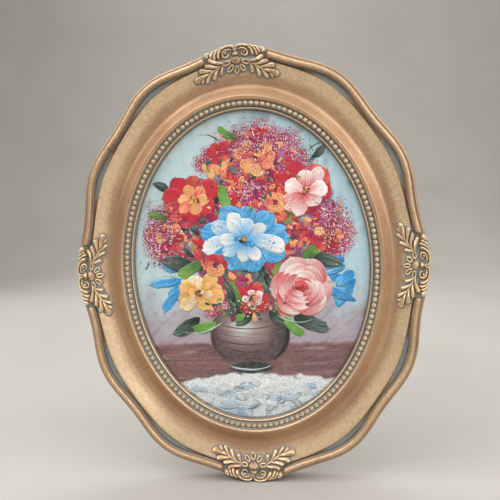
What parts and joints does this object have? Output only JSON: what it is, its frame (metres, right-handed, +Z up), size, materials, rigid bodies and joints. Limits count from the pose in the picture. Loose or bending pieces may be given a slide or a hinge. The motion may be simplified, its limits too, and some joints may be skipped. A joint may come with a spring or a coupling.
{
  "type": "framed oil painting",
  "caption": "Oval oil painting of a flower bouquet on board, in a gilt cast frame with a beaded sight edge, a wavy rim and leaf ornaments; hangs on a nail.",
  "frame": {"origin": "on the frame's flat back at the top centre, just above the hanger", "axes": "front faces -Y, +Y points into the wall, +Z up along the oval's long axis"},
  "size_m": [0.278, 0.0226, 0.344],
  "materials": {
    "gilt_resin": "cast resin, satin gold paint rubbed over a grey-blue wash in the hollows",
    "painted_board": "hardboard with knife-laid oil paint on the front",
    "hanger_brass": "brass-plated pressed steel",
    "hardware_steel": "zinc-plated steel"
  },
  "bodies": {
    "root": {"frame": "gilt_resin", "painting_board": "painted_board", "hanger": "hanger_brass", "hanger_nail_left": "hardware_steel", "hanger_nail_right": "hardware_steel", "retaining_point_1": "hardware_steel", "retaining_point_2": "hardware_steel", "retaining_point_3": "hardware_steel", "retaining_point_4": "hardware_steel"}
  },
  "joints": []
}
